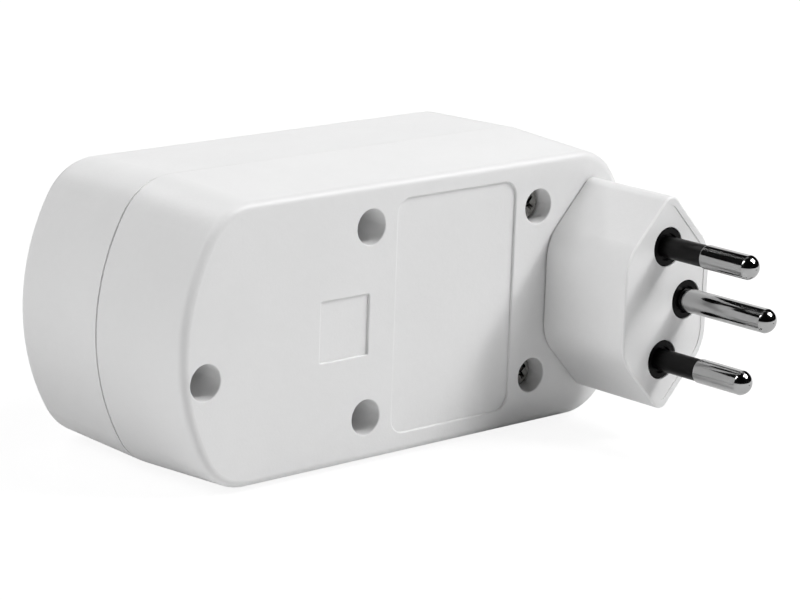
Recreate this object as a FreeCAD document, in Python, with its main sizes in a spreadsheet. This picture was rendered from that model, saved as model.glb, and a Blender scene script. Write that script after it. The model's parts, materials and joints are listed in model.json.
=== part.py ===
import FreeCAD, Part
import Sketcher
import math
import os

# Multi socket wall adapter, millimetres, +Z up.
# Every sub-part is drawn about the plug: the plug face is the plane y = 0, the pins
# point to -Y, the sockets open to +Y, the line pin is above and the neutral pin below.
# The placement then moves it to the row frame: origin under the middle of the whole
# object, on the plane it rests on.

os.makedirs("parts", exist_ok=True)
doc = FreeCAD.newDocument("multi_socket_adapter")
V = FreeCAD.Vector

# ---------------------------------------------------------------- dimensions
ROWS = [
    # placement of the plug frame in the row frame
    ("origin_x", 37.56), ("origin_y", -20.175), ("origin_z", 23.39),
    # casing
    ("back_y", 18.38), ("seam_y", 38.07), ("front_y", 59.35),
    ("half_height", 23.39), ("end_left", 87.40), ("end_right", 12.28),
    ("end_radius", 35.6), ("corner_radius", 10.7),
    # the back outline is smaller all round, and sits a little low
    ("back_in_end", 1.3), ("back_in_top", 0.89), ("back_drop", 0.2),
    ("slope_rear", 0.045), ("slope_front", 0.028),
    ("wall", 2.0), ("rear_edge", 1.35), ("front_edge", 2.0),
    ("seam_half", 0.025), ("seam_deep", 0.5), ("seam_end_half", 0.19), ("seam_end_out", 0.12),
    ("lip_gap", 0.12), ("lip_thick", 1.0), ("lip_tall", 1.5),
    # plug block: hexagon with rounded side corners
    ("hex_x", 0.3), ("hex_side", 9.9), ("hex_side_half", 8.4), ("hex_corner", 18.75),
    ("hex_round", 7.5), ("hex_tip_round", 2.0),
    ("plug_gap", 0.22), ("plug_face", 3.0), ("plug_wall", 1.6), ("plug_edge", 0.4),
    ("rim_width", 1.25), ("rim_depth", 0.10),
    ("boss_x", -4.2), ("boss_radius", 2.5),
    # pins
    ("pin_radius", 2.0), ("pin_out", 19.0), ("pin_half_pitch", 9.5), ("earth_x", 5.0),
    ("tip_tall", 1.55), ("waist_start", 0.1), ("pin_tail_y", 28.74), ("sleeve_out", 8.3), ("sleeve_radius", 1.84), ("sleeve_core", 1.5), ("pin_shoulder", 0.32), ("waist_radius", 1.78),
    ("collar_radius", 3.25),
    # screws and their wells
    ("well_radius", 2.9), ("well_short", 4.7), ("well_long", 16.5),
    ("screw_ab_x", -11.92), ("screw_ab_z", 14.33),
    ("screw_cd_x", -48.67), ("screw_cd_z", 15.47),
    ("screw_e_x", -81.53), ("screw_e_z", -4.55),
    ("post_rear", 4.0), ("post_front", 3.4), ("head_radius", 2.65), ("head_tall", 2.0),
    ("shank_radius", 1.45), ("shank_long", 12.0), ("well_floor", 2.0),
    # sunk panels on the back
    ("panel_depth", 0.4), ("panel_rim", 0.28),
    # sockets
    ("socket_a_x", -1.25), ("socket_b_x", -31.25),
    ("well_side", 10.4),
    ("well_wall", 1.2), ("well_depth", 10.0), ("floor_thick", 3.0),
    ("hole_radius", 2.35), ("hole_lead", 0.4),
    ("shutter_travel", 5.05),
    # USB supply
    ("usb_x", -65.0), ("usb_z", 6.5), ("board_y", 43.4), ("board_thick", 1.6),
    ("port_wide", 13.2), ("port_tall", 5.8), ("port_wall", 0.35), ("port_end_y", 58.85),
]
sheet = doc.addObject("Spreadsheet::Sheet", "dims")


class Q:
    """A size: its value and the sheet expression that gives it."""

    def __init__(self, value, text):
        self.v = float(value)
        self.e = text

    @staticmethod
    def of(o):
        return o if isinstance(o, Q) else Q(o, "%.6g" % o)

    def __add__(self, o):
        o = Q.of(o)
        return Q(self.v + o.v, "(%s + %s)" % (self.e, o.e))

    def __radd__(self, o):
        return Q.of(o) + self

    def __sub__(self, o):
        o = Q.of(o)
        return Q(self.v - o.v, "(%s - %s)" % (self.e, o.e))

    def __rsub__(self, o):
        return Q.of(o) - self

    def __mul__(self, o):
        o = Q.of(o)
        return Q(self.v * o.v, "(%s * %s)" % (self.e, o.e))

    def __rmul__(self, o):
        return Q.of(o) * self

    def __truediv__(self, o):
        o = Q.of(o)
        return Q(self.v / o.v, "(%s / %s)" % (self.e, o.e))

    def __neg__(self):
        return Q(-self.v, "(-1 * %s)" % self.e)


class Sizes:
    pass


D = Sizes()
for i, (alias, value) in enumerate(ROWS, 1):
    sheet.set("A%d" % i, alias)
    sheet.set("B%d" % i, str(value))
    sheet.setAlias("B%d" % i, alias)
    setattr(D, alias, Q(value, "dims.%s" % alias))
doc.recompute()


def bind(obj, prop, q):
    obj.setExpression(prop, Q.of(q).e)


# ---------------------------------------------------------------- helpers
def plane(body, role):
    for f in body.Origin.OriginFeatures:
        if f.Role == role:
            return f
    raise ValueError(role)


def new_body(name):
    b = doc.addObject("PartDesign::Body", name)
    b.Label = name
    return b


def place(obj, x=0, y=0, z=0):
    bind(obj, "Placement.Base.x", D.origin_x + x)
    bind(obj, "Placement.Base.y", D.origin_y + y)
    bind(obj, "Placement.Base.z", D.origin_z + z)


def sketch(body, name, role, level):
    """Sketch parallel to an origin plane. XZ: at y = level, drawn in (x, z).
    XY: at z = level, drawn in (x, y). YZ: at x = level, drawn in (y, z)."""
    s = body.newObject("Sketcher::SketchObject", name)
    s.AttachmentSupport = [(plane(body, role + "_Plane"), "")]
    s.MapMode = "FlatFace"
    level = Q.of(level)
    off = -level if role == "XZ" else level
    s.AttachmentOffset = FreeCAD.Placement(V(0, 0, off.v), FreeCAD.Rotation())
    bind(s, "AttachmentOffset.Base.z", off)
    return s


def fix_point(s, geo, pos, x, y):
    """Pin a sketch point to (x, y), each bound to its expression."""
    for kind, axis, q in (("DistanceX", -2, Q.of(x)), ("DistanceY", -1, Q.of(y))):
        if abs(q.v) < 1e-9:
            s.addConstraint(Sketcher.Constraint("PointOnObject", geo, pos, axis))
        elif q.v > 0:
            c = s.addConstraint(Sketcher.Constraint(kind, -1, 1, geo, pos, q.v))
            s.setExpression("Constraints[%d]" % c, q.e)
        else:
            c = s.addConstraint(Sketcher.Constraint(kind, geo, pos, -1, 1, -q.v))
            s.setExpression("Constraints[%d]" % c, (-q).e)


def draw_circle(s, x, y, r):
    x, y, r = Q.of(x), Q.of(y), Q.of(r)
    g = s.addGeometry(Part.Circle(V(x.v, y.v, 0), V(0, 0, 1), r.v), False)
    c = s.addConstraint(Sketcher.Constraint("Radius", g, r.v))
    s.setExpression("Constraints[%d]" % c, r.e)
    fix_point(s, g, 3, x, y)
    return g


def draw_polygon(s, pts):
    """Closed loop of points (x, y) or (x, y, r), r being the corner's rounding."""
    P = [tuple(Q.of(k) for k in p) + ((Q.of(0),) if len(p) == 2 else ()) for p in pts]
    n = len(P)
    cut = []
    for i in range(n):
        a, b, c = P[i - 1], P[i], P[(i + 1) % n]
        bv = V(b[0].v, b[1].v, 0)
        da = (V(a[0].v, a[1].v, 0) - bv).normalize()
        dc = (V(c[0].v, c[1].v, 0) - bv).normalize()
        half = math.acos(max(-1, min(1, da.dot(dc)))) / 2
        t = b[2].v / math.tan(half) if b[2].v > 0 else 0.0
        mid = bv + (da + dc).normalize() * (b[2].v / math.sin(half)) if t else None
        cut.append((bv + da * t, bv + dc * t, mid))
    lines = []
    for i in range(n):
        j = (i + 1) % n
        lines.append(s.addGeometry(Part.LineSegment(cut[i][1], cut[j][0]), False))
    for i in range(n):
        before, after = lines[i - 1], lines[i]
        if P[i][2].v > 0:
            p0, p1, mid = cut[i]
            a0 = math.atan2(p0.y - mid.y, p0.x - mid.x)
            a1 = math.atan2(p1.y - mid.y, p1.x - mid.x)
            turn = (a1 - a0) % (2 * math.pi)
            ccw = turn < math.pi
            circle = Part.Circle(mid, V(0, 0, 1), P[i][2].v)
            arc = s.addGeometry(Part.ArcOfCircle(circle, a0, a1) if ccw else Part.ArcOfCircle(circle, a1, a0), False)
            pt = s.addGeometry(Part.Point(V(P[i][0].v, P[i][1].v, 0)), True)
            s.addConstraint(Sketcher.Constraint("Tangent", before, 2, arc, 1 if ccw else 2))
            s.addConstraint(Sketcher.Constraint("Tangent", after, 1, arc, 2 if ccw else 1))
            c = s.addConstraint(Sketcher.Constraint("Radius", arc, P[i][2].v))
            s.setExpression("Constraints[%d]" % c, P[i][2].e)
            fix_point(s, pt, 1, P[i][0], P[i][1])
            s.addConstraint(Sketcher.Constraint("PointOnObject", pt, 1, before))
            s.addConstraint(Sketcher.Constraint("PointOnObject", pt, 1, after))
        else:
            s.addConstraint(Sketcher.Constraint("Coincident", before, 2, after, 1))
            fix_point(s, after, 1, P[i][0], P[i][1])


def draw_box(s, x0, x1, y0, y1, r=0):
    draw_polygon(s, [(x0, y0, r), (x1, y0, r), (x1, y1, r), (x0, y1, r)])


def draw_outline(s, off=0, off_h=None, off_r=None, drop=0):
    """Casing outline: straight top and bottom, bowed ends, rounded corners,
    the ends moved inwards by off, the top and bottom by off_h, the radii less
    off_r, all lowered by drop."""
    off_h = off if off_h is None else off_h
    off_r = off if off_r is None else off_r
    drop = Q.of(drop)
    xl, xr = D.end_left - off, D.end_right - off
    h, big, rc = D.half_height - off_h, D.end_radius - off_r, D.corner_radius - off_r
    cz = h.v - rc.v
    dx = math.sqrt((big.v - rc.v) ** 2 - cz ** 2)
    ang = math.atan2(cz, dx)
    low = -drop.v
    cr = V(xr.v - big.v, low, 0)
    cl = V(-xl.v + big.v, low, 0)
    right_c, left_c = cr.x + dx, cl.x - dx

    def arc(c, r, a0, a1):
        return s.addGeometry(Part.ArcOfCircle(Part.Circle(c, V(0, 0, 1), r), a0, a1), False)

    pi = math.pi
    right = arc(cr, big.v, -ang, ang)
    tr = arc(V(right_c, low + cz, 0), rc.v, ang, pi / 2)
    top = s.addGeometry(Part.LineSegment(V(right_c, low + h.v, 0), V(left_c, low + h.v, 0)), False)
    tl = arc(V(left_c, low + cz, 0), rc.v, pi / 2, pi - ang)
    left = arc(cl, big.v, pi - ang, pi + ang)
    bl = arc(V(left_c, low - cz, 0), rc.v, pi + ang, 1.5 * pi)
    bottom = s.addGeometry(Part.LineSegment(V(left_c, low - h.v, 0), V(right_c, low - h.v, 0)), False)
    br = arc(V(right_c, low - cz, 0), rc.v, 1.5 * pi, 2 * pi - ang)
    loop = [right, tr, top, tl, left, bl, bottom, br]
    for i in range(8):
        s.addConstraint(Sketcher.Constraint("Tangent", loop[i], 2, loop[(i + 1) % 8], 1))
    for g, q in ((right, big), (left, big), (tr, rc), (tl, rc), (bl, rc), (br, rc)):
        c = s.addConstraint(Sketcher.Constraint("Radius", g, q.v))
        s.setExpression("Constraints[%d]" % c, q.e)
    fix_point(s, right, 3, xr - big, -drop)
    fix_point(s, left, 3, big - xl, -drop)
    s.addConstraint(Sketcher.Constraint("Horizontal", top))
    s.addConstraint(Sketcher.Constraint("Horizontal", bottom))
    for g, sign in ((top, 1), (bottom, -1)):
        if sign > 0:
            reach = h - drop
            c = s.addConstraint(Sketcher.Constraint("DistanceY", -1, 1, g, 1, reach.v))
        else:
            reach = h + drop
            c = s.addConstraint(Sketcher.Constraint("DistanceY", g, 1, -1, 1, reach.v))
        s.setExpression("Constraints[%d]" % c, reach.e)


def hex_points(off, corner_round, tip_round, cx=0, side=None, left=None):
    """The plug block's hexagon, moved outwards by off (negative is inwards)."""
    run = math.hypot(D.hex_side.v, D.hex_corner.v - D.hex_side_half.v)
    k = (D.hex_corner - D.hex_side_half) / D.hex_side
    lean = run / D.hex_side.v
    off = Q.of(off)
    tip = D.hex_corner + off * lean
    right = Q.of(side) if side is not None else D.hex_side + off
    leftx = Q.of(left) if left is not None else D.hex_side + off
    zr = tip - right * k
    zl = tip - leftx * k
    cx = Q.of(cx)
    a, b = corner_round, tip_round
    return [(cx + right, -zr, a), (cx + right, zr, a), (cx, tip, b),
            (cx - leftx, zl, a), (cx - leftx, -zl, a), (cx, -tip, b)]


def pad(body, s, length, up=False, slope=None, grow=False):
    """up = away from the sketch against its normal (for XZ sketches: towards +Y)."""
    f = body.newObject("PartDesign::Pad", s.Name + "_pad")
    f.Profile = s
    f.Type = "Length"
    bind(f, "Length", length)
    f.Reversed = up
    if slope is not None:
        bind(f, "TaperAngle", Q(math.degrees(math.atan(slope.v)) * (1 if grow else -1),
                                ("atan(%s)" if grow else "(-1 * atan(%s))") % slope.e))
    s.Visibility = False
    doc.recompute()
    return f


def pocket(body, s, length, up=False, slope=None, expect=True):
    """up = along the sketch normal (for XZ sketches: towards -Y)."""
    before = body.Shape.Volume
    f = body.newObject("PartDesign::Pocket", s.Name + "_cut")
    f.Profile = s
    f.Type = "Length"
    bind(f, "Length", length)
    f.Reversed = up
    if slope is not None:
        bind(f, "TaperAngle", Q(-math.degrees(math.atan(slope.v)), "(-1 * atan(%s))" % slope.e))
    s.Visibility = False
    doc.recompute()
    if expect and not body.Shape.Volume < before - 1e-3:
        raise RuntimeError("%s cuts nothing" % f.Name)
    return f


def turn(body, s, axis="V_Axis"):
    f = body.newObject("PartDesign::Revolution", s.Name + "_turned")
    f.Profile = s
    f.ReferenceAxis = (s, [axis])
    f.Angle = 360
    doc.recompute()
    return f


def dress(body, kind, size, pick):
    """Fillet or chamfer on the edges that pick accepts."""
    tip = body.Tip
    names = ["Edge%d" % (i + 1) for i, e in enumerate(tip.Shape.Edges) if pick(e)]
    if not names:
        raise RuntimeError("no edge for %s on %s" % (kind, body.Name))
    f = body.newObject("PartDesign::%s" % kind, "%s_%s" % (body.Name, kind.lower()))
    f.Base = (tip, names)
    bind(f, "Radius" if kind == "Fillet" else "Size", size)
    doc.recompute()
    return f


def at_y(e, y, tol=0.01):
    return abs(e.BoundBox.YMin - y) < tol and abs(e.BoundBox.YMax - y) < tol


def in_box(e, x0, x1, z0, z1):
    q = e.BoundBox
    return q.XMin > x0 and q.XMax < x1 and q.ZMin > z0 and q.ZMax < z1


def round_at(e, x, z, r, tol=0.02):
    c = getattr(e.Curve, "Center", None)
    return c is not None and abs(c.x - x) < tol and abs(c.z - z) < tol and abs(e.Curve.Radius - r) < tol


AB = [(D.screw_ab_x, D.screw_ab_z), (D.screw_ab_x, -D.screw_ab_z)]
CDE = [(D.screw_cd_x, D.screw_cd_z), (D.screw_cd_x, -D.screw_cd_z), (D.screw_e_x, D.screw_e_z)]
SOCKETS = [("a", D.socket_a_x), ("b", D.socket_b_x)]
parts = []

# ---------------------------------------------------------------- rear shell
b = new_body("rear_shell")
s = sketch(b, "rear_outline", "XZ", D.seam_y)
draw_outline(s)
s_back = sketch(b, "back_outline", "XZ", D.back_y)
draw_outline(s_back, D.back_in_end, D.back_in_top, D.back_in_top, D.back_drop)
doc.recompute()
loft = b.newObject("PartDesign::AdditiveLoft", "rear_block")
loft.Profile = s
loft.Sections = [s_back]
loft.Ruled = True
doc.recompute()
if not b.Shape.isValid() or b.Shape.Volume < 60000:
    raise RuntimeError("rear block")
dress(b, "Fillet", D.rear_edge, lambda e: at_y(e, D.back_y.v))
s = sketch(b, "rear_hollow", "XZ", D.seam_y)
draw_outline(s, D.wall)
pocket(b, s, D.seam_y - D.back_y - D.wall, up=True, slope=D.slope_rear)
post_ab_end = D.back_y + D.well_short + D.well_floor
post_cde_end = D.back_y + D.well_long + D.well_floor
for name, group, end in (("rear_posts_ab", AB, post_ab_end), ("rear_posts_cde", CDE, post_cde_end)):
    s = sketch(b, name, "XZ", D.back_y + D.wall - 0.5)
    for x, z in group:
        draw_circle(s, x, z, D.post_rear)
    pad(b, s, end - D.back_y - D.wall + 0.5, up=True)
for name, group, depth in (("wells_ab", AB, D.well_short), ("wells_cde", CDE, D.well_long)):
    s = sketch(b, name, "XZ", D.back_y)
    for x, z in group:
        draw_circle(s, x, z, D.well_radius)
    pocket(b, s, depth)
s = sketch(b, "shank_holes", "XZ", D.back_y)
for x, z in AB + CDE:
    draw_circle(s, x, z, D.shank_radius + 0.25)
pocket(b, s, D.well_long + D.well_floor + 0.05)
s = sketch(b, "plug_opening", "XZ", D.back_y)
draw_polygon(s, hex_points(-D.plug_wall, 7.4, 0.6, D.hex_x))
pocket(b, s, D.wall + 0.05)
# sunk label panels, left bare
s = sketch(b, "large_panel", "XZ", D.back_y)
draw_box(s, -43.0, -17.15, -19.3, 19.2, 2.5)
pocket(b, s, D.panel_depth)
s = sketch(b, "small_panel", "XZ", D.back_y)
draw_box(s, -58.65, -48.7, -5.1, 4.7, 0.25)
pocket(b, s, D.panel_depth)
dress(b, "Fillet", 0.2, lambda e: at_y(e, D.back_y.v) and any(
    round_at(e, x.v, z.v, D.well_radius.v) for x, z in AB + CDE))
dress(b, "Fillet", D.panel_rim, lambda e: at_y(e, D.back_y.v) and (
    in_box(e, -43.1, -17.05, -19.4, 19.3) or in_box(e, -58.75, -48.6, -5.2, 4.8)))
# shadow gap along the parting line: a hairline all round, wider at the two ends
s = sketch(b, "rear_shadow_gap", "XZ", D.seam_y)
draw_outline(s, -0.4)
draw_outline(s, D.seam_deep)
pocket(b, s, D.seam_half, up=True)
s = sketch(b, "rear_end_gap", "XZ", D.seam_y)
draw_outline(s, -0.4)
draw_outline(s, D.seam_deep, -D.seam_end_out, D.seam_deep)
pocket(b, s, D.seam_end_half, up=True)
place(b)
parts.append(b)

# ---------------------------------------------------------------- front shell
b = new_body("front_shell")
s = sketch(b, "front_outline", "XZ", D.seam_y)
draw_outline(s)
pad(b, s, D.front_y - D.seam_y, up=True, slope=D.slope_front)
dress(b, "Fillet", D.front_edge, lambda e: at_y(e, D.front_y.v))
s = sketch(b, "front_hollow", "XZ", D.seam_y)
draw_outline(s, D.wall)
pocket(b, s, D.front_y - D.seam_y - D.wall, slope=D.slope_front)
# lip that slips inside the rear shell
s = sketch(b, "lip_shoulder", "XZ", D.seam_y)
draw_outline(s, D.wall - 0.6)
draw_outline(s, D.wall + D.lip_gap + D.lip_thick)
pad(b, s, 1.6, up=True)
s = sketch(b, "lip", "XZ", D.seam_y)
draw_outline(s, D.wall + D.lip_gap)
draw_outline(s, D.wall + D.lip_gap + D.lip_thick)
pad(b, s, D.lip_tall)
s = sketch(b, "lip_notch", "XZ", D.seam_y)
draw_circle(s, D.screw_e_x, D.screw_e_z, D.post_rear + 0.5)
pocket(b, s, D.lip_tall + 0.5, up=True)
# screw posts
inner_y = D.front_y - D.wall
for name, group, start in (("front_posts_ab", AB, post_ab_end + 0.1), ("front_posts_cde", CDE, post_cde_end + 0.1)):
    s = sketch(b, name, "XZ", start)
    for x, z in group:
        draw_circle(s, x, z, D.post_front)
    pad(b, s, inner_y - start + 0.5, up=True)
    s = sketch(b, name + "_pilot", "XZ", start)
    for x, z in group:
        draw_circle(s, x, z, D.shank_radius + 0.03)
    pocket(b, s, D.shank_long - D.well_floor + 1.0)
# socket wells
tube_end = D.front_y - D.well_depth - 2.0
floor_y = D.front_y - D.well_depth
hex_gap = D.well_side - D.hex_side
for tag, cx in SOCKETS:
    s = sketch(b, "well_tube_" + tag, "XZ", tube_end)
    draw_polygon(s, hex_points(hex_gap + D.well_wall, 9.8, 3.5, cx))
    pad(b, s, inner_y - tube_end + 0.5, up=True)
for tag, cx in SOCKETS:
    s = sketch(b, "well_" + tag, "XZ", D.front_y)
    draw_polygon(s, hex_points(hex_gap, 9.4, 2.2, cx))
    pocket(b, s, D.well_depth + 2.1, up=True)
# board posts
s = sketch(b, "board_posts", "XZ", D.board_y + D.board_thick + 0.02)
for z in (15.0, -15.0):
    draw_circle(s, -74.4, z, 1.5)
    draw_circle(s, -57.0, z, 1.3)
pad(b, s, inner_y - D.board_y - D.board_thick + 0.4, up=True)
# USB mouths
s = sketch(b, "usb_mouths", "XZ", D.front_y)
for z in (D.usb_z, -D.usb_z):
    draw_box(s, D.usb_x - D.port_wide / 2 - 0.2, D.usb_x + D.port_wide / 2 + 0.2,
             z - D.port_tall / 2 - 0.2, z + D.port_tall / 2 + 0.2, 0.7)
pocket(b, s, D.wall + 0.5, up=True)
# softened rims of the wells and mouths
dress(b, "Chamfer", 0.4, lambda e: at_y(e, D.front_y.v) and e.BoundBox.ZMax < 19.6 and e.BoundBox.ZMin > -19.6
      and e.BoundBox.XMin > -80 and e.BoundBox.XMax < 9.5)
s = sketch(b, "front_shadow_gap", "XZ", D.seam_y)
draw_outline(s, -0.4)
draw_outline(s, D.seam_deep)
pocket(b, s, D.seam_half)
s = sketch(b, "front_end_gap", "XZ", D.seam_y)
draw_outline(s, -0.4)
draw_outline(s, D.seam_deep, -D.seam_end_out, D.seam_deep)
pocket(b, s, D.seam_end_half)
place(b)
parts.append(b)

# ---------------------------------------------------------------- plug block
plug_base = D.back_y - D.plug_gap
b = new_body("plug_body")
s = sketch(b, "plug_outline", "XZ", 0)
draw_polygon(s, hex_points(0, D.hex_round, D.hex_tip_round, D.hex_x))
pad(b, s, plug_base, up=True)
dress(b, "Fillet", D.plug_edge, lambda e: at_y(e, 0))
s = sketch(b, "plug_cavity", "XZ", plug_base)
draw_polygon(s, hex_points(-D.plug_wall, 7.4, 0.6, D.hex_x))
pocket(b, s, plug_base - D.plug_face, up=True)
s = sketch(b, "plug_rim", "XZ", 0)
draw_polygon(s, hex_points(-D.rim_width, D.hex_round - D.rim_width, 1.2, D.hex_x))
pocket(b, s, D.rim_depth)
s = sketch(b, "plug_boss", "XZ", D.plug_face - 0.5)
draw_circle(s, D.boss_x, 0, D.boss_radius)
pad(b, s, 15.0, up=True)
s = sketch(b, "plug_boss_pilot", "XZ", D.plug_face + 14.5)
draw_circle(s, D.boss_x, 0, 1.23)
pocket(b, s, 11.0, up=True)
s = sketch(b, "plug_pin_holes", "XZ", 0)
for x, z in ((Q.of(0), D.pin_half_pitch), (Q.of(0), -D.pin_half_pitch), (D.earth_x, Q.of(0))):
    draw_circle(s, x, z, D.collar_radius + 0.06)
pocket(b, s, D.plug_face + 0.1)
place(b)
parts.append(b)

# ---------------------------------------------------------------- pin holder
holder_front = D.plug_face + 0.02
b = new_body("pin_holder")
s = sketch(b, "holder_block", "XZ", holder_front)
draw_polygon(s, hex_points(-D.plug_wall - 0.15, 7.2, 0.6, D.hex_x))
pad(b, s, D.back_y + D.wall + 0.02 - holder_front, up=True)
s = sketch(b, "holder_flange", "XZ", D.back_y + D.wall + 0.02)
draw_polygon(s, hex_points(-0.9, 7.8, 1.0, D.hex_x, side=8.4))
pad(b, s, 2.0, up=True)
s = sketch(b, "collars", "XZ", D.rim_depth + 0.1)
for x, z in ((Q.of(0), D.pin_half_pitch), (Q.of(0), -D.pin_half_pitch), (D.earth_x, Q.of(0))):
    draw_circle(s, x, z, D.collar_radius)
pad(b, s, 3.2, up=True)
s = sketch(b, "collar_grooves", "XZ", D.rim_depth + 0.1)
for x, z in ((Q.of(0), D.pin_half_pitch), (Q.of(0), -D.pin_half_pitch), (D.earth_x, Q.of(0))):
    draw_circle(s, x, z, D.pin_radius + 0.32)
pocket(b, s, 0.5)
s = sketch(b, "pin_grips", "XZ", D.rim_depth)
for x, z in ((Q.of(0), D.pin_half_pitch), (Q.of(0), -D.pin_half_pitch), (D.earth_x, Q.of(0))):
    draw_circle(s, x, z, D.waist_radius + 0.02)
pocket(b, s, 4)
s = sketch(b, "pin_bores", "XZ", 2.98)
for x, z in ((Q.of(0), D.pin_half_pitch), (Q.of(0), -D.pin_half_pitch), (D.earth_x, Q.of(0))):
    draw_circle(s, x, z, D.pin_radius + 0.02)
pocket(b, s, 23)
s = sketch(b, "boss_room", "XZ", holder_front)
draw_circle(s, D.boss_x, 0, D.boss_radius + 0.2)
pocket(b, s, 14.8)
s = sketch(b, "boss_screw_hole", "XZ", holder_front)
draw_circle(s, D.boss_x, 0, 1.45)
pocket(b, s, 24)
dress(b, "Chamfer", 0.15, lambda e: at_y(e, D.rim_depth.v + 0.1) and e.Curve.TypeId == "Part::GeomCircle"
      and abs(e.Curve.Radius - D.collar_radius.v) < 0.01)
place(b)
parts.append(b)


# ---------------------------------------------------------------- pins
def pin(name, sleeved, x, z):
    b = new_body(name)
    s = sketch(b, name + "_profile", "XY", 0)
    r, tip, dome = D.pin_radius, -D.pin_out, D.tip_tall
    # domed nose, a little flatter than a hemisphere, so it meets the shank in an edge
    ball = (r.v ** 2 + dome.v ** 2) / (2 * dome.v)
    nose = s.addGeometry(Part.ArcOfCircle(Part.Circle(V(0, tip.v + ball, 0), V(0, 0, 1), ball),
                                          -math.pi / 2, -math.asin((ball - dome.v) / ball)), False)
    # waisted where the holder's plastic grips it
    waist = D.waist_radius
    if sleeved:
        core = D.sleeve_core
        pts = [(r, tip + dome), (r, -D.sleeve_out), (core, -D.sleeve_out), (core, Q.of(1.0)),
               (waist, Q.of(1.0)), (waist, Q.of(3.0)), (r, Q.of(3.0)),
               (r, D.pin_tail_y), (Q.of(0), D.pin_tail_y), (Q.of(0), tip)]
    else:
        pts = [(r, tip + dome), (r, D.waist_start), (waist, D.waist_start), (waist, Q.of(3.0)),
               (r, Q.of(3.0)), (r, D.pin_tail_y), (Q.of(0), D.pin_tail_y), (Q.of(0), tip)]
    ids = []
    for p, q in zip(pts[:-1], pts[1:]):
        ids.append(s.addGeometry(Part.LineSegment(V(p[0].v, p[1].v, 0), V(q[0].v, q[1].v, 0)), False))
    for g, h_ in zip(ids[:-1], ids[1:]):
        s.addConstraint(Sketcher.Constraint("Coincident", g, 2, h_, 1))
    for g, p in zip(ids, pts):
        if g is not ids[0]:
            fix_point(s, g, 1, p[0], p[1])
    fix_point(s, ids[-1], 2, pts[-1][0], pts[-1][1])
    fix_point(s, ids[0], 1, pts[0][0], pts[0][1])
    s.addConstraint(Sketcher.Constraint("Coincident", nose, 2, ids[0], 1))
    s.addConstraint(Sketcher.Constraint("Coincident", nose, 1, ids[-1], 2))
    s.addConstraint(Sketcher.Constraint("PointOnObject", nose, 3, -2))
    turn(b, s)
    if sleeved:
        dress(b, "Fillet", D.pin_shoulder, lambda e: at_y(e, -D.sleeve_out.v) and abs(e.Curve.Radius - r.v) < 0.01)
    place(b, x, 0, z)
    parts.append(b)


pin("line_pin", True, 0, D.pin_half_pitch)
pin("neutral_pin", True, 0, -D.pin_half_pitch)
pin("earth_pin", False, D.earth_x, 0)

for name, z in (("line_pin_sleeve", D.pin_half_pitch), ("neutral_pin_sleeve", -D.pin_half_pitch)):
    b = new_body(name)
    s = sketch(b, name + "_ring", "XZ", -D.sleeve_out)
    draw_circle(s, 0, 0, D.sleeve_radius)
    draw_circle(s, 0, 0, D.sleeve_core)
    pad(b, s, D.sleeve_out + D.waist_start, up=True)
    # thinner foot, gripped by the holder
    s = sketch(b, name + "_foot", "XZ", D.waist_start)
    draw_circle(s, 0, 0, D.waist_radius)
    draw_circle(s, 0, 0, D.sleeve_core)
    pad(b, s, 1.0 - D.waist_start, up=True)
    place(b, 0, 0, z)
    parts.append(b)


# ---------------------------------------------------------------- screws
def screw(name, head_r, head_h, shank_r, length, cross):
    """Head on y = -head_h .. 0, shank to y = length, axis Y."""
    b = new_body(name)
    s = sketch(b, name + "_profile", "XY", 0)
    draw_polygon(s, [(0, -Q.of(head_h)), (Q.of(head_r), -Q.of(head_h), 0.8), (Q.of(head_r), 0),
                     (Q.of(shank_r), 0), (Q.of(shank_r), Q.of(length) - 1.2), (0.5, Q.of(length)), (0, Q.of(length))])
    turn(b, s)
    s = sketch(b, name + "_cross", "XZ", -Q.of(head_h))
    k, w = cross, 0.36
    draw_polygon(s, [(w, -k), (w, -w), (k, -w), (k, w), (w, w), (w, k), (-w, k), (-w, w),
                     (-k, w), (-k, -w), (-w, -w), (-w, -k)])
    pocket(b, s, 1.1)
    return b


master = screw("housing_screw", D.head_radius, D.head_tall, D.shank_radius, D.shank_long, 1.55)
links = []
for i, ((x, z), y) in enumerate([(p, D.back_y + D.well_short) for p in AB] + [(p, D.back_y + D.well_long) for p in CDE]):
    l = doc.addObject("App::Link", "housing_screw_%d" % (i + 1))
    l.LinkedObject = master
    # each screw stopped at its own turn when it was tightened
    l.Placement = FreeCAD.Placement(V(0, 0, 0), FreeCAD.Rotation(V(0, 1, 0), (38, 52, 10, 64, 25)[i]))
    bind(l, "Placement.Base.x", x)
    bind(l, "Placement.Base.y", y)
    bind(l, "Placement.Base.z", z)
    links.append(l)
doc.recompute()
c = doc.addObject("Part::Compound", "housing_screws")
c.Label = "housing_screws"
c.Links = links
place(c)
parts.append(c)

b = screw("plug_screw", 2.3, 1.6, 1.2, 13.0, 1.2)
# turned round: the head bears on the holder's flange, the shank points to the plug face
b.Placement = FreeCAD.Placement(V(0, 0, 0), FreeCAD.Rotation(V(0, 0, 1), 180))
place(b, D.boss_x, D.back_y + D.wall + 2.04, 0)
parts.append(b)

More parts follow.
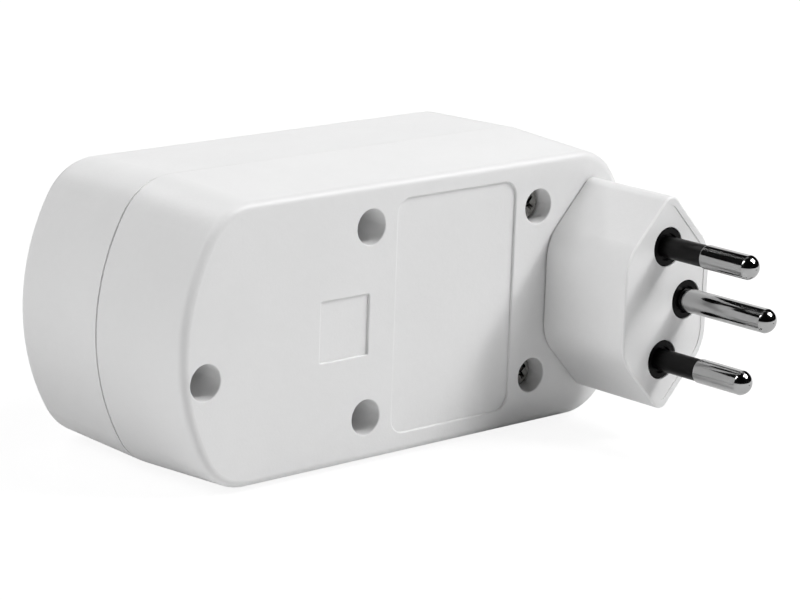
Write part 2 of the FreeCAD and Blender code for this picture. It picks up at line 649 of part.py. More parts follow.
# ---------------------------------------------------------------- contact carrier
carrier_y, carrier_top = Q.of(25.6), Q.of(27.9)
b = new_body("contact_carrier")
s = sketch(b, "carrier_plate", "XZ", carrier_y)
draw_polygon(s, [(-38.0, -12.8, 1.0), (6.0, -12.8, 1.0), (8.4, -6.0, 1.0), (8.4, 6.0, 1.0), (6.0, 12.8, 1.0), (-38.0, 12.8, 1.0)])
pad(b, s, carrier_top - carrier_y, up=True)
s = sketch(b, "carrier_ribs", "XZ", carrier_top - 0.5)
for z in (4.9, -4.9):
    draw_box(s, -37.0, 6.6, z - 0.5, z + 0.5)
pad(b, s, 11.9, up=True)
s = sketch(b, "carrier_feet", "XZ", D.back_y + D.wall + 0.02)
for x in (-36.5, -20.0):
    for z in (-10.5, 10.5):
        draw_circle(s, x, z, 1.4)
pad(b, s, carrier_y - D.back_y - D.wall + 0.3, up=True)
s = sketch(b, "carrier_post_holes", "XZ", carrier_y)
for x, z in AB:
    draw_circle(s, x, z, D.post_front + 0.4)
pocket(b, s, 3)
s = sketch(b, "carrier_pin_holes", "XZ", carrier_y)
draw_circle(s, 0, D.pin_half_pitch, 2.25)
draw_circle(s, 0, -D.pin_half_pitch, 2.25)
draw_circle(s, D.earth_x, 0, 2.25)
pocket(b, s, 3)
place(b)
parts.append(b)


# ---------------------------------------------------------------- busbars
def busbar(name, zc, inner, outer, pin_x, sockets, start, stop):
    """Flat strip with a pair of sprung leaves under each socket hole."""
    b = new_body(name)
    s = sketch(b, name + "_strip", "XZ", carrier_top + 0.02)
    draw_box(s, stop, start, inner, outer, 0.4)
    pad(b, s, 0.8, up=True)
    for i, x in enumerate(list(sockets) + [Q.of(pin_x)]):
        s = sketch(b, "%s_pad_%d" % (name, i), "XZ", carrier_top + 0.02)
        draw_box(s, x - 2.8, x + 2.8, zc - 2.6, zc + 2.6, 0.3)
        pad(b, s, 0.8, up=True)
    s = sketch(b, name + "_leaves", "XZ", carrier_top + 0.5)
    for x in sockets:
        for side in (-1, 1):
            m = Q.of(zc) + 2.15 * side
            draw_box(s, x - 2.3, x + 2.3, m - 0.3, m + 0.3)
    pad(b, s, 10.8, up=True)
    s = sketch(b, name + "_pin_hole", "XZ", carrier_top)
    draw_circle(s, pin_x, zc, D.pin_radius + 0.01)
    pocket(b, s, 0.9)
    place(b)
    parts.append(b)


hp = D.pin_half_pitch
busbar("line_busbar", hp, 6.2, 10.0, 0, [D.socket_a_x, D.socket_b_x], 2.0, -36.0)
busbar("neutral_busbar", -hp, -10.0, -6.2, 0, [D.socket_a_x, D.socket_b_x], 2.0, -36.0)
busbar("earth_busbar", Q.of(0), -3.0, 3.0, D.earth_x, [D.socket_a_x + D.earth_x, D.socket_b_x + D.earth_x], 7.0, -30.0)

# ---------------------------------------------------------------- socket floors, shutters, guides, springs
floor_back = floor_y - D.floor_thick
for tag, cx in SOCKETS:
    b = new_body("socket_floor_" + tag)
    s = sketch(b, "floor_flange_" + tag, "XZ", floor_back)
    draw_polygon(s, hex_points(hex_gap + 0.5, 8.6, 2.4, 0, side=9.7))
    pad(b, s, D.floor_thick - 2.0 - 0.03, up=True)
    s = sketch(b, "floor_plate_" + tag, "XZ", floor_back + 0.5)
    draw_polygon(s, hex_points(hex_gap - 0.08, 9.3, 2.2))
    pad(b, s, D.floor_thick - 0.5, up=True)
    s = sketch(b, "floor_holes_" + tag, "XZ", floor_back)
    draw_circle(s, 0, hp, D.hole_radius)
    draw_circle(s, 0, -hp, D.hole_radius)
    draw_circle(s, D.earth_x, 0, D.hole_radius)
    pocket(b, s, D.floor_thick + 0.1)
    dress(b, "Chamfer", D.hole_lead, lambda e: at_y(e, floor_y.v) and e.Curve.TypeId == "Part::GeomCircle"
          and abs(e.Curve.Radius - D.hole_radius.v) < 0.01)
    place(b, cx)
    parts.append(b)

    # shutter: a U-shaped slide with two ramps that the line and neutral pins push aside
    b = new_body("shutter_" + tag)
    low, bar_top, ramp_low, ramp_top = Q.of(41.6), Q.of(43.1), Q.of(42.15), floor_back - 0.2
    s = sketch(b, "shutter_bar_" + tag, "XZ", low)
    draw_polygon(s, [(-6.6, -6.9), (2.7, -6.9), (2.7, -5.0), (-2.6, -5.0), (-2.6, 5.0), (2.7, 5.0), (2.7, 6.9), (-6.6, 6.9)])
    pad(b, s, bar_top - low, up=True)
    for sign in (1, -1):
        s = sketch(b, "shutter_ramp_%s_%s" % (tag, "up" if sign > 0 else "down"), "XY", 6.0 if sign > 0 else -11.9)
        draw_polygon(s, [(-2.7, low), (2.7, low), (2.7, ramp_top), (1.9, ramp_top), (-2.7, ramp_low)])
        pad(b, s, 5.9)
    s = sketch(b, "shutter_spring_seats_" + tag, "YZ", 2.7)
    draw_circle(s, 43.2, hp, 1.25)
    draw_circle(s, 43.2, -hp, 1.25)
    pocket(b, s, 1.5)
    place(b, cx)
    parts.append(b)

    # guide: a shallow tray behind the shutter
    b = new_body("shutter_guide_" + tag)

    def tray(sk, g, x1):
        draw_polygon(sk, [(-6.9 - g, -7.2 - g), (-3.2 - g, -7.2 - g), (-3.2 - g, -12.15 - g), (x1, -12.15 - g, 0.2 + g),
                          (x1, 12.15 + g, 0.2 + g), (-3.2 - g, 12.15 + g), (-3.2 - g, 7.2 + g), (-6.9 - g, 7.2 + g)])

    s = sketch(b, "guide_block_" + tag, "XZ", 40.0)
    tray(s, 0.6, 8.55)
    pad(b, s, floor_back - 40.0 - 0.05, up=True)
    s = sketch(b, "guide_room_" + tag, "XZ", floor_back - 0.05)
    tray(s, 0.0, 7.95)
    pocket(b, s, floor_back - 0.05 - 41.4, up=True)
    s = sketch(b, "guide_holes_" + tag, "XZ", 40.0)
    draw_circle(s, 0, hp, 2.45)
    draw_circle(s, 0, -hp, 2.45)
    draw_circle(s, D.earth_x, 0, 2.45)
    pocket(b, s, 2)
    place(b, cx)
    parts.append(b)

    # return springs, two to a shutter: a wire swept along a helix about X
    length, mean, wire, turns = 6.69, 0.9, 0.13, 5.5
    helix = Part.makeHelix((length - 2 * wire) / turns, length - 2 * wire, mean)
    ring = Part.Wire(Part.makeCircle(wire, V(mean, 0, 0), V(0, 1, 0.2)))
    coil = Part.Wire(helix).makePipeShell([ring], True, True)
    coil.rotate(V(0, 0, 0), V(0, 1, 0), 90)
    both = []
    for z in (hp.v, -hp.v):
        one = coil.copy()
        one.translate(V(1.23 + wire, 43.2, z))
        both.append(one)
    f = doc.addObject("Part::Feature", "shutter_springs_" + tag)
    f.Label = "shutter_springs_" + tag
    f.Shape = Part.makeCompound(both)
    place(f, cx)
    parts.append(f)

# ---------------------------------------------------------------- USB supply
b = new_body("usb_board")
s = sketch(b, "board", "XZ", D.board_y)
draw_box(s, -76.4, -54.0, -17.0, 17.0, 0.6)
pad(b, s, D.board_thick, up=True)
place(b)
parts.append(b)
front_of_board = D.board_y + D.board_thick

tongues = []
for tag, z in (("a", D.usb_z), ("b", -D.usb_z)):
    b = new_body("usb_port_" + tag)
    y0 = front_of_board + 0.02
    s = sketch(b, "port_shell_" + tag, "XZ", y0)
    w, t = D.port_wide / 2, D.port_tall / 2
    draw_box(s, -w, w, -t, t, 0.6)
    pad(b, s, D.port_end_y - y0, up=True)
    s = sketch(b, "port_room_" + tag, "XZ", D.port_end_y)
    k = D.port_wall
    draw_box(s, -w + k, w - k, -t + k, t - k, 0.3)
    pocket(b, s, D.port_end_y - y0 - 0.4, up=True)
    place(b, D.usb_x, 0, z)
    parts.append(b)

    b = new_body("usb_tongue_" + tag)
    base = y0 + 0.42
    s = sketch(b, "tongue_block_" + tag, "XZ", base)
    draw_box(s, -w + k + 0.03, w - k - 0.03, -t + k + 0.03, t - k - 0.03, 0.35)
    pad(b, s, 2.6, up=True)
    s = sketch(b, "tongue_" + tag, "XZ", base + 2.0)
    draw_box(s, -5.6, 5.6, 0.1, 1.95)
    pad(b, s, D.port_end_y - 1.0 - base - 2.0, up=True)
    dress(b, "Chamfer", 0.35, lambda e: at_y(e, D.port_end_y.v - 1.0) and e.BoundBox.XLength > 5)
    place(b, D.usb_x, 0, z)
    parts.append(b)

c = doc.addObject("Part::Compound", "usb_contacts")
c.Label = "usb_contacts"
strips = []
for j, z in enumerate((D.usb_z, -D.usb_z)):
    for i, x in enumerate((-3.5, -1.0, 1.0, 3.5)):
        bx = doc.addObject("Part::Box", "usb_contact_%d_%d" % (j, i))
        bind(bx, "Length", 1.0)
        bind(bx, "Width", 7.5)
        bind(bx, "Height", 0.22)
        bind(bx, "Placement.Base.x", D.usb_x + x - 0.5)
        bind(bx, "Placement.Base.y", D.port_end_y - 10.0)
        bind(bx, "Placement.Base.z", z - 0.13)
        strips.append(bx)
c.Links = strips
place(c)
parts.append(c)

# transformer under the board: ferrite pair with a wound bobbin
b = new_body("transformer_core")
s = sketch(b, "core_block", "XY", -3.0)
draw_box(s, -8.0, 8.0, 0, 12.6)
pad(b, s, 6.0)
s = sketch(b, "core_windows", "XY", -3.0)
draw_box(s, -6.0, -2.0, 2.0, 10.6)
draw_box(s, 2.0, 6.0, 2.0, 10.6)
pocket(b, s, 6.0, up=True)
place(b, -67.8, 30.3, 0)
parts.append(b)
b = new_body("transformer_winding")
s = sketch(b, "winding_ring", "XZ", 2.1)
draw_box(s, -5.8, 5.8, -6.0, 6.0, 1.6)
draw_box(s, -2.1, 2.1, -3.1, 3.1)
pad(b, s, 8.4, up=True)
place(b, -67.8, 30.3, 0)
parts.append(b)


def cans(name, spots, r, tall, front=False):
    """Round components standing on the board, one node for a matched set."""
    c = doc.addObject("Part::Compound", name)
    c.Label = name
    made = []
    for i, (x, z) in enumerate(spots):
        cy = doc.addObject("Part::Cylinder", "%s_%d" % (name, i + 1))
        bind(cy, "Radius", r)
        bind(cy, "Height", tall)
        cy.Placement = FreeCAD.Placement(V(x, 0, z), FreeCAD.Rotation(V(1, 0, 0), -90 if front else 90))
        bind(cy, "Placement.Base.y", front_of_board + 0.01 if front else D.board_y - 0.01)
        fl = doc.addObject("Part::Fillet", "%s_%d_top" % (name, i + 1))
        fl.Base = cy
        doc.recompute()
        far = [k + 1 for k, e in enumerate(cy.Shape.Edges)
               if e.Curve.TypeId == "Part::GeomCircle"
               and abs(e.Curve.Center.y - (front_of_board.v + 0.01 + tall if front else D.board_y.v - 0.01 - tall)) < 0.01]
        fl.Edges = [(k, 0.5, 0.5) for k in far]
        made.append(fl)
    c.Links = made
    place(c)
    parts.append(c)


cans("input_capacitors", [(-70.4, 12.2), (-61.6, 12.2)], 4.0, 13.0)
cans("output_capacitors", [(-70.4, -12.2), (-62.6, -12.2)], 3.15, 11.0)
cans("output_inductor", [(-56.9, 0.0)], 2.6, 5.0, front=True)
cans("fuse_resistor", [(-55.8, 12.6)], 1.5, 8.0)

for name, w, t, d, x, z, front in (("controller_chip", 5.0, 4.0, 1.5, -65.0, 0.0, True),
                                   ("rectifier", 4.6, 6.2, 2.6, -56.6, 0.0, False)):
    b = new_body(name)
    s = sketch(b, name + "_body", "XZ", 0)
    draw_box(s, -w / 2, w / 2, -t / 2, t / 2)
    pad(b, s, d, up=front)
    dress(b, "Chamfer", 0.25, lambda e: at_y(e, d if front else -d))
    place(b, x, (front_of_board + 0.01) if front else (D.board_y - 0.01), z)
    parts.append(b)

# leads from the end of each busbar to the board
for name, z in (("line_lead", 8.1), ("neutral_lead", -8.1)):
    b = new_body(name)
    y0 = carrier_top + 0.42 + 0.6
    run = sketch(b, name + "_path", "XY", 0)
    bend = 4.0
    g0 = run.addGeometry(Part.LineSegment(V(-36.05, y0.v, 0), V(-57.6 + bend, y0.v, 0)), False)
    g1 = run.addGeometry(Part.ArcOfCircle(Part.Circle(V(-57.6 + bend, y0.v + bend, 0), V(0, 0, 1), bend), math.pi, 1.5 * math.pi), False)
    g2 = run.addGeometry(Part.LineSegment(V(-57.6, y0.v + bend, 0), V(-57.6, D.board_y.v - 0.02, 0)), False)
    fix_point(run, g0, 1, -36.05, y0)
    run.addConstraint(Sketcher.Constraint("Horizontal", g0))
    run.addConstraint(Sketcher.Constraint("Tangent", g0, 2, g1, 2))
    run.addConstraint(Sketcher.Constraint("Tangent", g1, 1, g2, 1))
    run.addConstraint(Sketcher.Constraint("Radius", g1, bend))
    run.addConstraint(Sketcher.Constraint("Vertical", g2))
    fix_point(run, g2, 2, -57.6, D.board_y - 0.02)
    prof = sketch(b, name + "_section", "YZ", -36.05)
    draw_circle(prof, y0, 0, 0.75)
    doc.recompute()
    pipe = b.newObject("PartDesign::AdditivePipe", name + "_pipe")
    pipe.Profile = prof
    pipe.Spine = (run, ["Edge1", "Edge2", "Edge3"])
    place(b, 0, 0, z)
    parts.append(b)

# ---------------------------------------------------------------- check and write
doc.recompute()
for o in doc.Objects:
    if "Invalid" in o.State or "Error" in o.State:
        raise RuntimeError("%s is %s" % (o.Label, o.State))
for p in parts:
    sh = p.Shape
    if sh.isNull() or not sh.isValid() or not sh.Solids:
        raise RuntimeError("%s has no valid shape" % p.Label)
for p in parts:
    p.Shape.exportStep("parts/%s.step" % p.Label)
box = FreeCAD.BoundBox()
for p in parts:
    box.add(p.Shape.BoundBox)
print("%d parts, box x %.2f..%.2f y %.2f..%.2f z %.2f..%.2f" % (
    len(parts), box.XMin, box.XMax, box.YMin, box.YMax, box.ZMin, box.ZMax))
for p in parts:
    print("%-22s solids %d volume %.1f mm3" % (p.Label, len(p.Shape.Solids), p.Shape.Volume))
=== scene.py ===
import json
import math

import bpy
from mathutils import Matrix, Vector


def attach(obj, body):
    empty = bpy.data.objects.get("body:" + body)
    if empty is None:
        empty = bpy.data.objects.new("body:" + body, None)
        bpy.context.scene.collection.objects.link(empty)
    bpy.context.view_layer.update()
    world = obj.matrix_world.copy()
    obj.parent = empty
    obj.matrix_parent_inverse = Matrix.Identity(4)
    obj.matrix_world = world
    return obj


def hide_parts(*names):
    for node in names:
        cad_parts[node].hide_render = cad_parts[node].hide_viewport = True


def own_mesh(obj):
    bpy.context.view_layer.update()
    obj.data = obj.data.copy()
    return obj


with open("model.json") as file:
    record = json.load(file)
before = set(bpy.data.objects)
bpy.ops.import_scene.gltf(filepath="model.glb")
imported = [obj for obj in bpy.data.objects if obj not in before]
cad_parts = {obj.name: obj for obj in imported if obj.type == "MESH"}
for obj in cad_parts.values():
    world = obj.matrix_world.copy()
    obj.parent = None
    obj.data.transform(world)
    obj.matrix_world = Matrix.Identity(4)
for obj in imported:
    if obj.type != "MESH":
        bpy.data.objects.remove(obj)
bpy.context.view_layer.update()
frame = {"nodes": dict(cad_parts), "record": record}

nodes = frame["nodes"]
scene = bpy.context.scene

# ------------------------------------------------------------------ camera
# Fitted to the photograph: pins, screw wells, parting line and outline.
# The plug frame has its origin in the plug face; the row frame is shifted from it.
AZ, EL, ROLL = -0.748041, 0.243477, 0.0352366
TURN = Vector((43.39373, -0.593053, -516.48815))
PLUG = Vector((37.56, -20.175, 23.39))
FOCAL_PX, FRAME_W = 3159.05, 800.0

back = Vector((math.sin(AZ) * math.cos(EL), -math.cos(AZ) * math.cos(EL), math.sin(EL)))
flat_right = Vector((math.cos(AZ), math.sin(AZ), 0.0))
flat_up = back.cross(flat_right)
right = math.cos(ROLL) * flat_right + math.sin(ROLL) * flat_up
up = -math.sin(ROLL) * flat_right + math.cos(ROLL) * flat_up
turn = Matrix((right, up, back))
eye = (turn.transposed() @ (-TURN) + PLUG) * 0.001

cam_data = bpy.data.cameras.new("camera")
cam_data.sensor_width = 36.0
cam_data.sensor_fit = "HORIZONTAL"
cam_data.lens = 36.0 * FOCAL_PX / FRAME_W
cam_data.clip_start, cam_data.clip_end = 0.02, 50.0
cam = bpy.data.objects.new("camera", cam_data)
scene.collection.objects.link(cam)
cam.matrix_world = Matrix.Translation(eye) @ turn.transposed().to_4x4()
scene.camera = cam


# ------------------------------------------------------------------ materials
class Mat:
    """A node material on one principled shader, with small helpers."""

    def __init__(self, name):
        self.m = bpy.data.materials.new(name)
        self.m.use_nodes = True
        self.t = self.m.node_tree
        self.t.nodes.clear()
        self.out = self.t.nodes.new("ShaderNodeOutputMaterial")
        self.p = self.t.nodes.new("ShaderNodeBsdfPrincipled")
        self.t.links.new(self.p.outputs[0], self.out.inputs[0])
        self.co = self.t.nodes.new("ShaderNodeTexCoord").outputs["Object"]

    def set(self, **values):
        for k, v in values.items():
            self.p.inputs[k.replace("_", " ")].default_value = v
        return self

    def link(self, a, b):
        self.t.links.new(a, b)

    def place(self, scale=(1, 1, 1), turn=(0, 0, 0)):
        n = self.t.nodes.new("ShaderNodeMapping")
        n.inputs["Scale"].default_value = scale
        n.inputs["Rotation"].default_value = turn
        self.link(self.co, n.inputs["Vector"])
        return n.outputs[0]

    def noise(self, scale, detail=3.0, rough=0.5, at=None):
        n = self.t.nodes.new("ShaderNodeTexNoise")
        n.inputs["Scale"].default_value = scale
        n.inputs["Detail"].default_value = detail
        n.inputs["Roughness"].default_value = rough
        self.link(at or self.co, n.inputs["Vector"])
        return n.outputs["Fac"]

    def voronoi(self, scale, feature="F1", at=None):
        n = self.t.nodes.new("ShaderNodeTexVoronoi")
        n.feature = feature
        n.inputs["Scale"].default_value = scale
        self.link(at or self.co, n.inputs["Vector"])
        return n.outputs["Distance"]

    def ramp(self, fac, stops):
        n = self.t.nodes.new("ShaderNodeValToRGB")
        r = n.color_ramp
        while len(r.elements) > 1:
            r.elements.remove(r.elements[-1])
        r.elements[0].position, r.elements[0].color = stops[0][0], (*stops[0][1], 1)
        for pos, col in stops[1:]:
            e = r.elements.new(pos)
            e.color = (*col, 1)
        self.link(fac, n.inputs[0])
        return n.outputs["Color"]

    def scaled(self, fac, low, high, from_low=0.3, from_high=0.7):
        n = self.t.nodes.new("ShaderNodeMapRange")
        n.inputs["From Min"].default_value = from_low
        n.inputs["From Max"].default_value = from_high
        n.inputs["To Min"].default_value = low
        n.inputs["To Max"].default_value = high
        self.link(fac, n.inputs["Value"])
        return n.outputs["Result"]

    def math(self, op, a, b):
        n = self.t.nodes.new("ShaderNodeMath")
        n.operation = op
        for i, v in enumerate((a, b)):
            if isinstance(v, (int, float)):
                n.inputs[i].default_value = v
            else:
                self.link(v, n.inputs[i])
        return n.outputs[0]

    def mix(self, fac, a, b, blend="MIX"):
        n = self.t.nodes.new("ShaderNodeMix")
        n.data_type = "RGBA"
        n.blend_type = blend
        for name, v in (("Factor", fac), ("A", a), ("B", b)):
            s = [i for i in n.inputs if i.name == name and (i.type == "RGBA" or name == "Factor" and i.type == "VALUE")][0]
            if isinstance(v, (int, float)):
                s.default_value = v
            elif isinstance(v, tuple):
                s.default_value = (*v, 1)
            else:
                self.link(v, s)
        return [o for o in n.outputs if o.type == "RGBA"][0]

    def bump(self, height, strength, distance):
        n = self.t.nodes.new("ShaderNodeBump")
        n.inputs["Strength"].default_value = strength
        n.inputs["Distance"].default_value = distance
        self.link(height, n.inputs["Height"])
        self.link(n.outputs[0], self.p.inputs["Normal"])
        return self

    def colour(self, socket):
        self.link(socket, self.p.inputs["Base Color"])
        return self

    def rough(self, socket):
        self.link(socket, self.p.inputs["Roughness"])
        return self


def plastic(name, low, high, rough, texture, fine=2600.0):
    """Moulded plastic: faint cloudy flow in the colour, a fine eroded grain in the surface."""
    m = Mat(name)
    cloud = m.noise(55.0, 4.0, 0.55)
    speck = m.noise(900.0, 2.0, 0.5)
    blend = m.math("ADD", m.math("MULTIPLY", cloud, 0.75), m.math("MULTIPLY", speck, 0.25))
    m.colour(m.ramp(blend, [(0.3, low), (0.7, high)]))
    m.rough(m.scaled(m.noise(240.0, 3.0, 0.6), rough - 0.05, rough + 0.05))
    grain = m.math("ADD", m.math("MULTIPLY", m.noise(fine, 2.0, 0.6), 0.7), m.math("MULTIPLY", m.noise(fine * 0.35, 2.0, 0.5), 0.5))
    m.bump(grain, texture, 0.00006)
    return m


mats = {}
mats["shell_white"] = plastic("shell_white", (0.860, 0.860, 0.860), (0.890, 0.890, 0.890), 0.42, 0.35).set(Specular_IOR_Level=0.45).m

# The plug block's edges get a painted highlight: a lighter band is painted along the rounded edge
# where the surface turns from the pin side to the flanks.
m = plastic("plug_white", (0.850, 0.850, 0.850), (0.880, 0.880, 0.880), 0.40, 0.30).set(Specular_IOR_Level=0.45)
geo = m.t.nodes.new("ShaderNodeNewGeometry")
parts = m.t.nodes.new("ShaderNodeSeparateXYZ")
m.link(geo.outputs["Normal"], parts.inputs[0])
where = m.t.nodes.new("ShaderNodeSeparateXYZ")
m.link(m.co, where.inputs[0])
# painted highlight mask: the fillet band between the pin side and the flanks, near the plug face
highlight_fillet_band = m.ramp(m.math("ABSOLUTE", parts.outputs["Y"], 0.0), [(0.08, (0, 0, 0)), (0.30, (1, 1, 1)), (0.93, (1, 1, 1)), (0.99, (0, 0, 0))])
near_face = m.scaled(where.outputs["Y"], 1.0, 0.0, -0.0196, -0.0190)
painted_edge_highlight = m.math("MULTIPLY", m.math("MULTIPLY", highlight_fillet_band, near_face), m.scaled(m.noise(420.0, 3.0, 0.6), 0.6, 1.0))
was = m.p.inputs["Base Color"].links[0].from_socket
# painted highlight: the edge band is mixed towards near-white
m.colour(m.mix(painted_edge_highlight, was, (0.985, 0.985, 0.985)))
mats["plug_white"] = m.m
mats["insert_white"] = plastic("insert_white", (0.76, 0.76, 0.75), (0.81, 0.81, 0.80), 0.46, 0.35).m
mats["shutter_grey"] = plastic("shutter_grey", (0.50, 0.50, 0.51), (0.56, 0.56, 0.57), 0.42, 0.30).m
mats["black_plastic"] = plastic("black_plastic", (0.002, 0.002, 0.002), (0.004, 0.004, 0.004), 0.36, 0.15).set(Specular_IOR_Level=0.15).m
mats["black_collar"] = plastic("black_collar", (0.003, 0.003, 0.003), (0.005, 0.005, 0.005), 0.30, 0.15).set(Specular_IOR_Level=0.08).m
mats["tongue_white"] = plastic("tongue_white", (0.68, 0.68, 0.67), (0.74, 0.74, 0.73), 0.40, 0.25).m


def plated(name, low, high, rough, along, scale, depth):
    """Plated metal with faint drawing lines along one axis."""
    m = Mat(name).set(Metallic=1.0)
    lines = m.noise(scale, 3.0, 0.6, m.place(along))
    tarnish = m.noise(160.0, 4.0, 0.6)
    m.colour(m.ramp(tarnish, [(0.3, low), (0.7, high)]))
    m.rough(m.scaled(lines, rough * 0.7, rough * 1.35))
    m.bump(lines, depth, 0.00002)
    return m


mats["nickel"] = plated("nickel", (0.43, 0.43, 0.43), (0.48, 0.48, 0.48), 0.09, (1.0, 0.06, 1.0), 900.0, 0.12).m
mats["zinc_steel"] = plated("zinc_steel", (0.26, 0.255, 0.245), (0.44, 0.435, 0.42), 0.24, (1.0, 1.0, 1.0), 1300.0, 0.7).m
mats["contact_brass"] = plated("contact_brass", (0.68, 0.50, 0.22), (0.78, 0.59, 0.28), 0.28, (1.0, 0.15, 1.0), 700.0, 0.3).m
mats["spring_steel"] = plated("spring_steel", (0.42, 0.42, 0.42), (0.52, 0.52, 0.52), 0.25, (1.0, 1.0, 1.0), 1500.0, 0.2).m
mats["port_steel"] = plated("port_steel", (0.56, 0.56, 0.55), (0.64, 0.64, 0.63), 0.22, (0.2, 1.0, 1.0), 900.0, 0.25).m
mats["contact_gold"] = plated("contact_gold", (0.82, 0.58, 0.20), (0.90, 0.66, 0.26), 0.18, (1.0, 0.2, 1.0), 900.0, 0.2).m
mats["ferrite"] = plastic("ferrite", (0.030, 0.030, 0.032), (0.055, 0.055, 0.058), 0.60, 0.9, 1200.0).m
mats["capacitor_sleeve"] = plastic("capacitor_sleeve", (0.020, 0.026, 0.050), (0.030, 0.038, 0.070), 0.28, 0.10).m
mats["resistor_body"] = plastic("resistor_body", (0.42, 0.36, 0.23), (0.50, 0.44, 0.30), 0.30, 0.2).m
mats["lead_brown"] = plastic("lead_brown", (0.10, 0.045, 0.022), (0.13, 0.06, 0.03), 0.38, 0.2).m
mats["lead_blue"] = plastic("lead_blue", (0.02, 0.06, 0.28), (0.03, 0.08, 0.34), 0.38, 0.2).m

# Winding tape: glossy film, its layers seen as faint rings round the bobbin.
m = Mat("winding_tape")
w = m.t.nodes.new("ShaderNodeTexWave")
w.bands_direction = "Y"
w.inputs["Scale"].default_value = 900.0
w.inputs["Distortion"].default_value = 1.2
m.link(m.co, w.inputs["Vector"])
m.colour(m.ramp(w.outputs["Fac"], [(0.2, (0.62, 0.46, 0.04)), (0.8, (0.72, 0.56, 0.07))]))
m.rough(m.scaled(m.noise(300.0), 0.2, 0.32))
m.bump(w.outputs["Fac"], 0.3, 0.00003)
mats["winding_tape"] = m.m

# Circuit board: woven glass under the solder mask.
m = Mat("board_green")
wx = m.t.nodes.new("ShaderNodeTexWave")
wx.bands_direction = "X"
wx.inputs["Scale"].default_value = 550.0
m.link(m.co, wx.inputs["Vector"])
wz = m.t.nodes.new("ShaderNodeTexWave")
wz.bands_direction = "Z"
wz.inputs["Scale"].default_value = 550.0
m.link(m.co, wz.inputs["Vector"])
weave = m.math("MULTIPLY", wx.outputs["Fac"], wz.outputs["Fac"])
m.colour(m.ramp(weave, [(0.1, (0.012, 0.085, 0.030)), (0.9, (0.020, 0.130, 0.045))]))
m.rough(m.scaled(m.noise(500.0), 0.28, 0.4))
m.bump(weave, 0.25, 0.00003)
mats["board_green"] = m.m

for s in frame["record"]["subparts"]:
    o = nodes[s["node"]]
    for sl in o.material_slots:
        sl.material = mats["black_collar" if s["node"] == "pin_holder" else s["material_slot"]]

# ------------------------------------------------------------------ return springs
# Each pair would shorten towards its fixed end as the shutter slides against it; here each is a fixed copy on the
# housing.
for tag in "ab":
    name, joint = "shutter_springs_" + tag, "shutter_%s_slide" % tag
    piece = bpy.data.objects.new("return_springs_" + tag, nodes[name].data.copy())
    scene.collection.objects.link(piece)
    piece.data.materials.clear()
    piece.data.materials.append(mats["spring_steel"])
    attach(piece, "housing")
    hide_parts(name)
    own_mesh(piece)

# ------------------------------------------------------------------ floor and light
floor_mesh =bpy.data.meshes.new("floor")
FLOOR = 6.0
floor_mesh.from_pydata([(-FLOOR, -FLOOR, 0), (FLOOR, -FLOOR, 0), (FLOOR, FLOOR, 0), (-FLOOR, FLOOR, 0)], [], [(0, 1, 2, 3)])
floor = bpy.data.objects.new("floor", floor_mesh)
scene.collection.objects.link(floor)
floor.location.z = -0.0001
m = Mat("floor_white")
m.colour(m.ramp(m.noise(4.0, 3.0, 0.5), [(0.3, (0.790, 0.790, 0.790)), (0.7, (0.810, 0.810, 0.810))]))
m.set(Roughness=0.9, Specular_IOR_Level=0.0)
# the camera sees it as a bright sweep on which only a faint shadow is left
glow = m.t.nodes.new("ShaderNodeEmission")
reach = m.t.nodes.new("ShaderNodeVectorMath")
reach.operation = "LENGTH"
m.link(m.co, reach.inputs[0])
m.link(m.scaled(reach.outputs["Value"], 0.90, 1.0, 0.15, 1.2), glow.inputs["Strength"])
veil = m.t.nodes.new("ShaderNodeBsdfDiffuse")
veil.inputs["Color"].default_value = (0.15, 0.15, 0.15, 1)
both = m.t.nodes.new("ShaderNodeAddShader")
m.link(glow.outputs[0], both.inputs[0])
m.link(veil.outputs[0], both.inputs[1])
ray = m.t.nodes.new("ShaderNodeLightPath")
pick = m.t.nodes.new("ShaderNodeMixShader")
m.link(ray.outputs["Is Camera Ray"], pick.inputs[0])
m.link(m.p.outputs[0], pick.inputs[1])
m.link(both.outputs[0], pick.inputs[2])
m.link(pick.outputs[0], m.out.inputs[0])
floor_mesh.materials.append(m.m)

centre = Vector((0.0, 0.0, 0.02))


def softbox(name, direction, along, distance, width, height, parts, powers):
    """A soft panel that faces the object, as a grid of tiles. Sizes are at 1 m; power is per square metre."""
    d = Vector(direction).normalized()
    e2 = d.cross(Vector(along)).normalized()
    e1 = e2.cross(d).normalized()
    columns, rows = parts
    w, h = width * distance / columns, height * distance / rows
    made = []
    for i in range(columns):
        for j in range(rows):
            light = bpy.data.lights.new("%s_%d%d" % (name, i, j), "AREA")
            light.shape = "RECTANGLE"
            light.size, light.size_y = w, h
            light.energy = powers[i * rows + j] * w * h
            o = bpy.data.objects.new(light.name, light)
            scene.collection.objects.link(o)
            at = centre + d * distance + e1 * (i - (columns - 1) / 2) * w + e2 * (j - (rows - 1) / 2) * h
            turned = Matrix((e1, e2, e1.cross(e2))).transposed()
            if turned.col[2].dot(d) < 0:
                turned = Matrix((e1, -e2, -e1.cross(e2))).transposed()
            o.matrix_world = Matrix.Translation(at) @ turned.to_4x4()
            made.append(o)
    return made


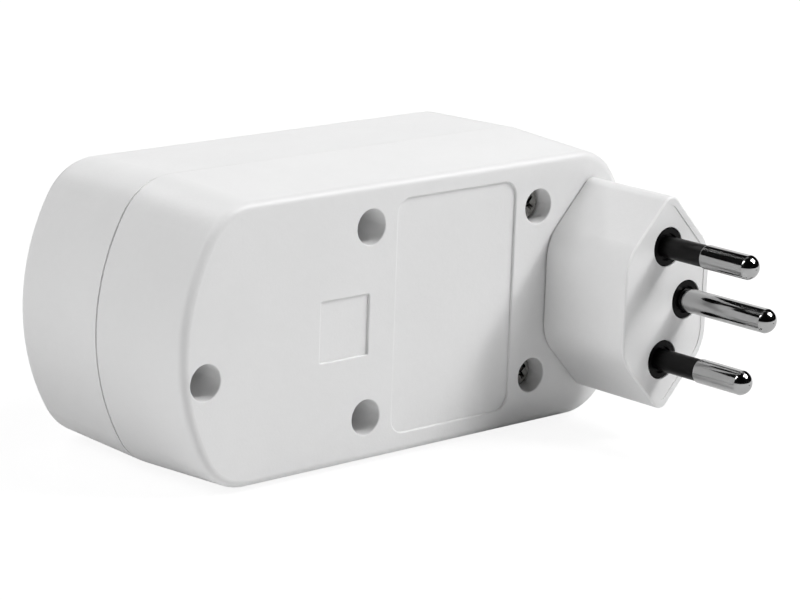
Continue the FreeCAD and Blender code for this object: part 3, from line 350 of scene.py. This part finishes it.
# Soft panels: an uneven key at the right in front of the back face, a tall one at the left,
# small ones above and a weak one low behind, as the shading, shadows and pin tips show.
def aim(azimuth, elevation):
    a, e = math.radians(azimuth), math.radians(elevation)
    return (math.cos(e) * math.sin(a), -math.cos(e) * math.cos(a), math.sin(e)), (math.cos(a), math.sin(a), 0.0)


for name, az, el, wide, tall, tiles, powers in (
        ("panel_key", 52, 48, 0.51, 0.51, (3, 3), (115.0, 31.0, 41.0, 21.5, 3.0, 10.5, 12.5, 64.0, 2.0)),
        ("panel_left", 252, 35, 0.50, 1.06, (1, 2), (7.2, 15.4)),
        ("panel_above", 176, 72, 0.80, 0.50, (1, 1), (0.8,)),
        ("strip_above", 178, 45, 0.36, 0.10, (1, 1), (28.0,)),
        ("panel_behind", 140, 18, 0.50, 0.50, (1, 1), (3.0,))):
    d, flat = aim(az, el)
    softbox(name, d, flat, 1.0 if "key" in name else 2.0, wide, tall, tiles, powers)

world = bpy.data.worlds.new("studio")
scene.world = world
world.use_nodes = True
t = world.node_tree
t.nodes.clear()
out = t.nodes.new("ShaderNodeOutputWorld")
seen, lit, dark = (t.nodes.new("ShaderNodeBackground") for _ in range(3))
seen.inputs[0].default_value, seen.inputs[1].default_value = (1, 1, 1, 1), 1.0
lit.inputs[0].default_value, lit.inputs[1].default_value = (1, 1, 1, 1), 0.01
dark.inputs[0].default_value, dark.inputs[1].default_value = (1, 1, 1, 1), 0.004
path = t.nodes.new("ShaderNodeLightPath")
a, b = t.nodes.new("ShaderNodeMixShader"), t.nodes.new("ShaderNodeMixShader")
t.links.new(path.outputs["Is Glossy Ray"], a.inputs[0])
t.links.new(lit.outputs[0], a.inputs[1])
t.links.new(dark.outputs[0], a.inputs[2])
t.links.new(path.outputs["Is Camera Ray"], b.inputs[0])
t.links.new(a.outputs[0], b.inputs[1])
t.links.new(seen.outputs[0], b.inputs[2])
t.links.new(b.outputs[0], out.inputs[0])

scene.view_settings.view_transform = "Standard"
scene.view_settings.look = "None"
scene.view_settings.exposure = 0.0
scene.view_settings.gamma = 1.0
